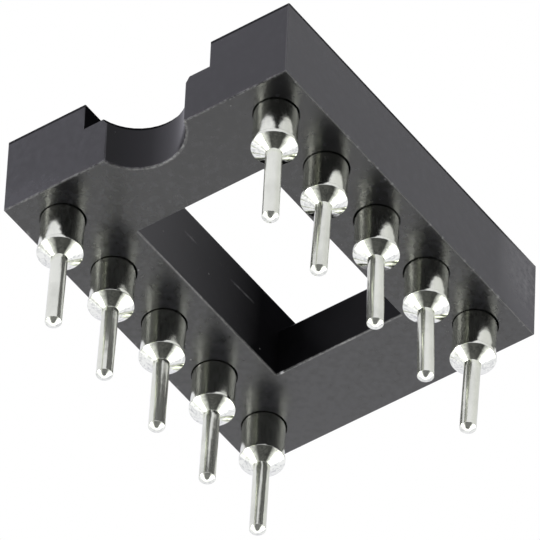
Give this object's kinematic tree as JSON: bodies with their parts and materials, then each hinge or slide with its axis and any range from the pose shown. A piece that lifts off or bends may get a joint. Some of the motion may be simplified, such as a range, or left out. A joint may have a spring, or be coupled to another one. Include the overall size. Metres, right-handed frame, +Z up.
{
  "type": "dual-in-line ic socket",
  "caption": "Open-frame dual-in-line socket with turned through-hole contacts, a polarity notch and low end bars.",
  "frame": {"origin": "centre of the contact grid, on the top face of the board that the socket is soldered to", "axes": "+Z up out of the board, tails down; +Y along the rows, away from the polarity notch; +X across the rows, towards contacts 01 to 05"},
  "size_m": [0.01, 0.0126, 0.0074],
  "materials": {
    "housing_plastic": "black glass-filled moulding, semi-gloss",
    "tin_plated_brass": "turned brass, bright tin plate",
    "gold_plated_spring": "copper alloy strip, gold flash"
  },
  "bodies": {
    "root": {"housing": "housing_plastic", "contact_sleeve_01": "tin_plated_brass", "contact_sleeve_02": "tin_plated_brass", "contact_sleeve_03": "tin_plated_brass", "contact_sleeve_04": "tin_plated_brass", "contact_sleeve_05": "tin_plated_brass", "contact_sleeve_06": "tin_plated_brass", "contact_sleeve_07": "tin_plated_brass", "contact_sleeve_08": "tin_plated_brass", "contact_sleeve_09": "tin_plated_brass", "contact_sleeve_10": "tin_plated_brass", "contact_clip_01": "gold_plated_spring", "contact_clip_02": "gold_plated_spring", "contact_clip_03": "gold_plated_spring", "contact_clip_04": "gold_plated_spring", "contact_clip_05": "gold_plated_spring", "contact_clip_06": "gold_plated_spring", "contact_clip_07": "gold_plated_spring", "contact_clip_08": "gold_plated_spring", "contact_clip_09": "gold_plated_spring", "contact_clip_10": "gold_plated_spring"}
  },
  "joints": []
}
